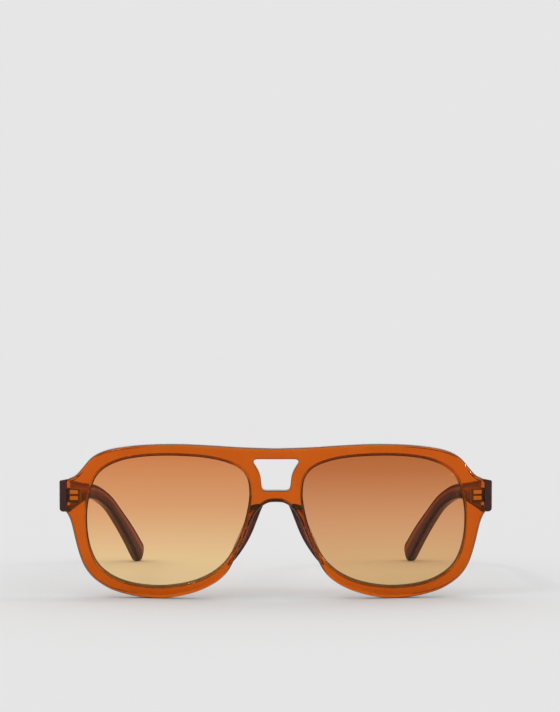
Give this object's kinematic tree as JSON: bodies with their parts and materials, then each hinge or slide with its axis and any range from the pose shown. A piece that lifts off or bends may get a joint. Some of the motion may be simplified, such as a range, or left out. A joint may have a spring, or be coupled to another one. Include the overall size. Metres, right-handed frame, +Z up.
{
  "type": "aviator sunglasses",
  "caption": "Aviator sunglasses with a brow bar, an open keyhole bridge, gradient-tinted lenses, glued nose pads and folding temples with a wire core.",
  "frame": {"origin": "on the table under the middle of the open sunglasses, midway between the lenses and midway between the bridge's face and the temple tips", "axes": "+X across the face to the wearer's left, -Y the way the lenses face, +Y towards the temple tips, +Z up"},
  "size_m": [0.1452, 0.1462, 0.0519],
  "materials": {
    "acetate_amber": "polished translucent amber acetate",
    "acetate_dark": "polished translucent dark brown acetate",
    "lens_tint": "clear plastic with a brown tint that fades downwards",
    "hinge_steel": "fine brushed",
    "core_wire": "drawn wire, seen through the acetate"
  },
  "bodies": {
    "front_frame": {"front": "acetate_amber", "lens_left": "lens_tint", "lens_right": "lens_tint", "nose_pad_left": "acetate_amber", "nose_pad_right": "acetate_amber", "hinge_front_left": "hinge_steel", "hinge_front_right": "hinge_steel", "hinge_screw_left": "hinge_steel", "hinge_screw_right": "hinge_steel"},
    "left_arm": {"temple_left": "acetate_dark", "hinge_temple_left": "hinge_steel", "core_wire_left": "core_wire"},
    "right_arm": {"temple_right": "acetate_dark", "hinge_temple_right": "hinge_steel", "core_wire_right": "core_wire"}
  },
  "joints": [
    {"name": "left_temple_fold", "type": "hinge", "parent": "front_frame", "child": "left_arm", "pos_m": [0.0672, -0.05692, 0.03381], "axis": [0, 0.0436, 0.999], "range_deg": [0, 82]},
    {"name": "right_temple_fold", "type": "hinge", "parent": "front_frame", "child": "right_arm", "pos_m": [-0.0672, -0.05692, 0.03381], "axis": [0, -0.0436, -0.999], "range_deg": [0, 74]}
  ]
}
